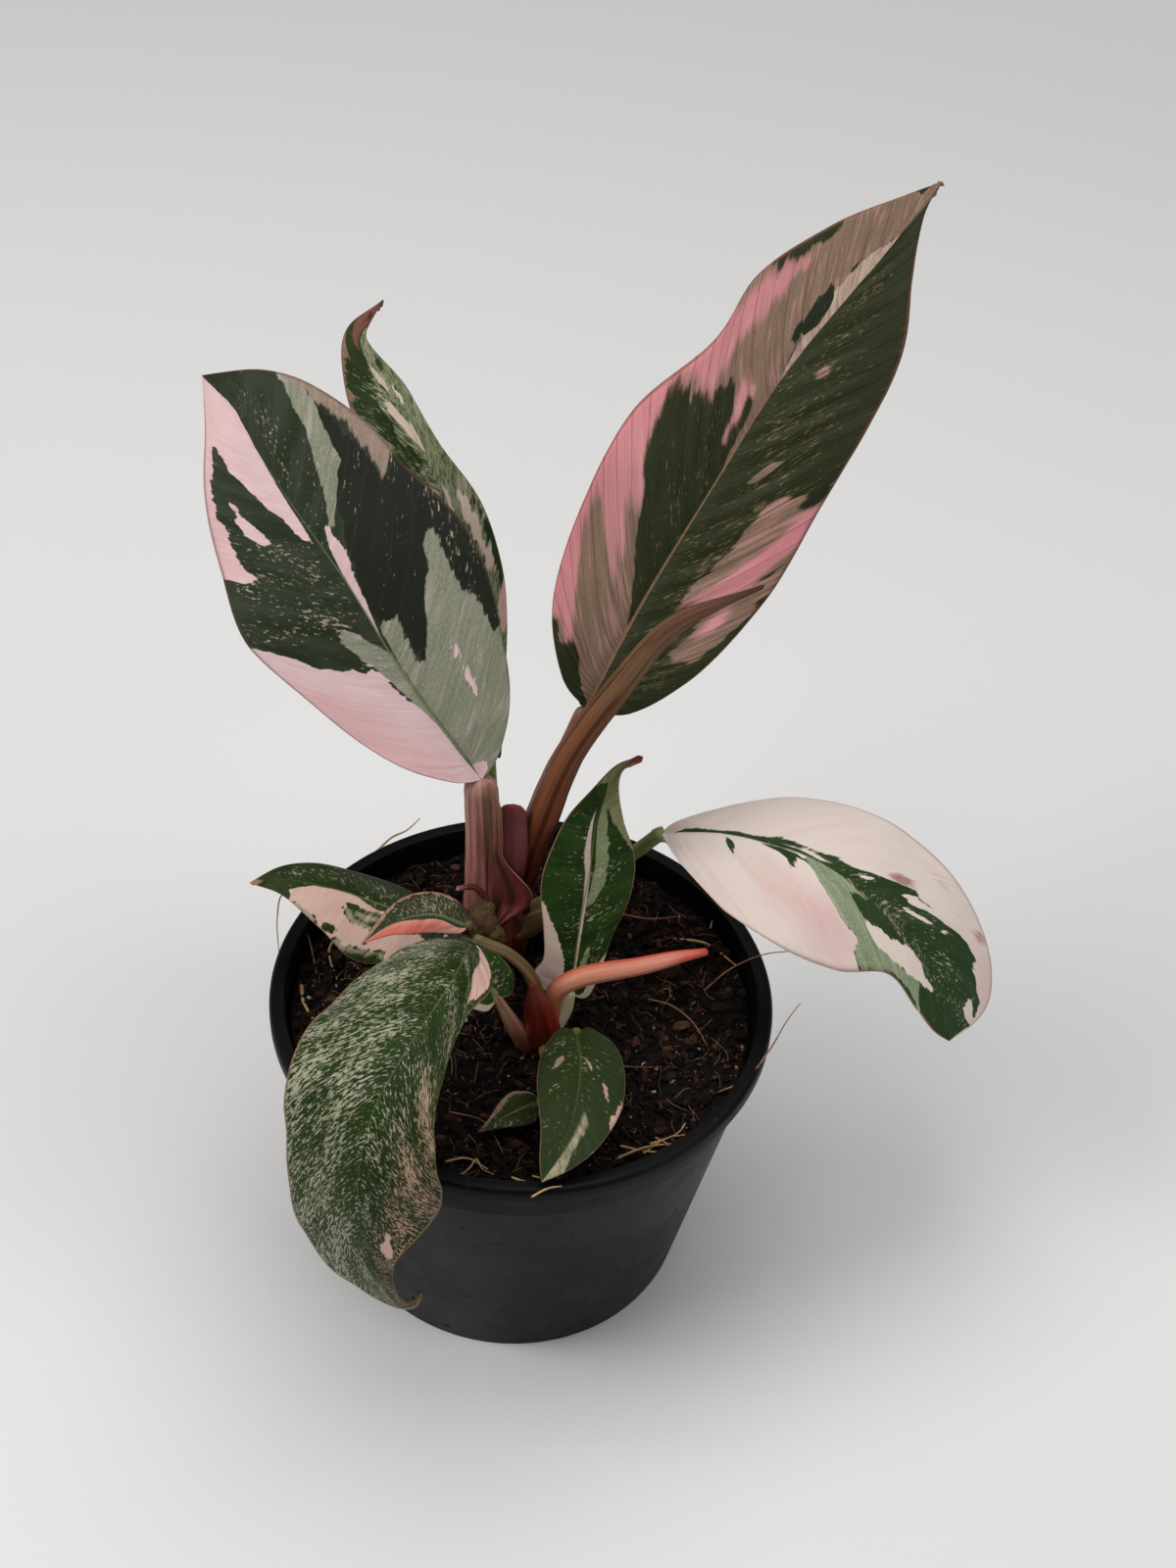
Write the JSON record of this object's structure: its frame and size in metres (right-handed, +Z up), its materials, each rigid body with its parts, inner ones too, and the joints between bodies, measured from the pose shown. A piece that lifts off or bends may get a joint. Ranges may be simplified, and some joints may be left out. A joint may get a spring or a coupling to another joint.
{
  "type": "pink princess philodendron in a nursery pot",
  "caption": "Young potted pink princess philodendron: two rooted stems with pink, cream and green variegated leaves and leaf sheaths in a round nursery pot of dark potting mix.",
  "frame": {"origin": "middle of the pot's underside", "axes": "+Z up; the broad faces of the large leaves look towards -Y, and +X is to the right when looking along +Y"},
  "size_m": [0.1943, 0.1678, 0.2503],
  "materials": {
    "blade_variegated": "glossy dark green blade with pink, cream and mint sectors",
    "blade_pale": "nearly white, faintly pink blade with a green tip",
    "blade_speckled": "green blade finely speckled with cream and pink",
    "blade_green": "glossy green blade with pale flecks",
    "stalk_pink": "satin pink leaf stalk",
    "stalk_brown": "satin olive-brown stalk and sheath",
    "stalk_red": "satin deep red sheath and stem",
    "stalk_green": "satin olive-green stalk",
    "spike_salmon": "satin salmon-pink rolled new leaf",
    "stem_bark": "brown stem and aerial root",
    "pot_black": "black moulded nursery pot, satin rim",
    "coir_mix": "damp dark coir and bark potting mix"
  },
  "bodies": {
    "root": {"leaf_left_blade": "blade_variegated", "leaf_back_blade": "blade_variegated", "leaf_tall_blade": "blade_variegated", "leaf_pale_blade": "blade_pale", "leaf_speckled_blade": "blade_speckled", "leaf_side_blade": "blade_green", "leaf_inner_blade": "blade_green", "leaf_young_blade": "blade_green", "leaf_low_blade": "blade_green", "leaf_front_blade": "blade_green", "leaf_ground_blade": "blade_green", "leaf_left_petiole": "stalk_pink", "leaf_back_petiole": "stalk_pink", "leaf_tall_petiole": "stalk_brown", "leaf_pale_petiole": "stalk_green", "leaf_speckled_petiole": "stalk_green", "leaf_side_petiole": "stalk_green", "leaf_inner_petiole": "stalk_green", "leaf_young_petiole": "stalk_green", "leaf_low_petiole": "stalk_green", "leaf_front_petiole": "stalk_green", "leaf_ground_petiole": "stalk_green", "stem_rear": "stem_bark", "stem_front": "stalk_red", "sheath_tall": "stalk_brown", "sheath_pink": "stalk_pink", "sheath_red": "stalk_red", "new_leaf_spike": "spike_salmon", "aerial_root": "stem_bark", "pot": "pot_black", "potting_mix": "coir_mix"}
  },
  "joints": []
}
